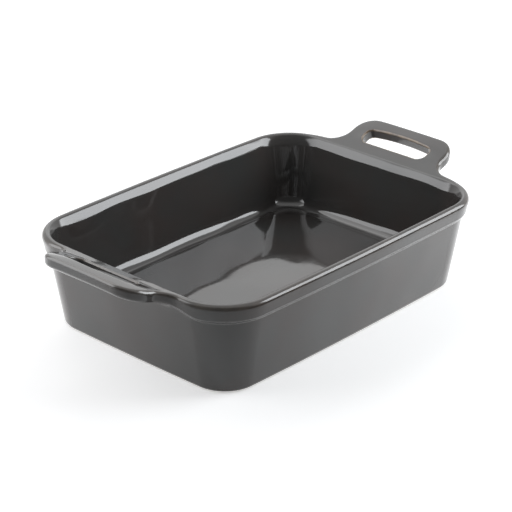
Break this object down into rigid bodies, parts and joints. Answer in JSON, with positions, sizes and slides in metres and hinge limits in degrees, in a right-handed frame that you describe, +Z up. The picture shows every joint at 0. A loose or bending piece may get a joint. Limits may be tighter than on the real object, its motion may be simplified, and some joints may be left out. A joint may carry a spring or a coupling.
{
  "type": "baking dish",
  "caption": "Rectangular glazed stoneware baking dish with sloping walls, a raised rim band and a tilted handle with a finger slot at each end.",
  "frame": {"origin": "on the table, under the middle of the dish", "axes": "+X along the long sides towards one handle, +Y across the dish, +Z up"},
  "size_m": [0.4346, 0.2566, 0.1045],
  "materials": {
    "stoneware": "matte",
    "glaze": "gloss"
  },
  "bodies": {
    "root": {"basin": "stoneware", "left_handle": "stoneware", "right_handle": "stoneware", "interior_glaze": "glaze", "exterior_glaze": "glaze"}
  },
  "joints": []
}
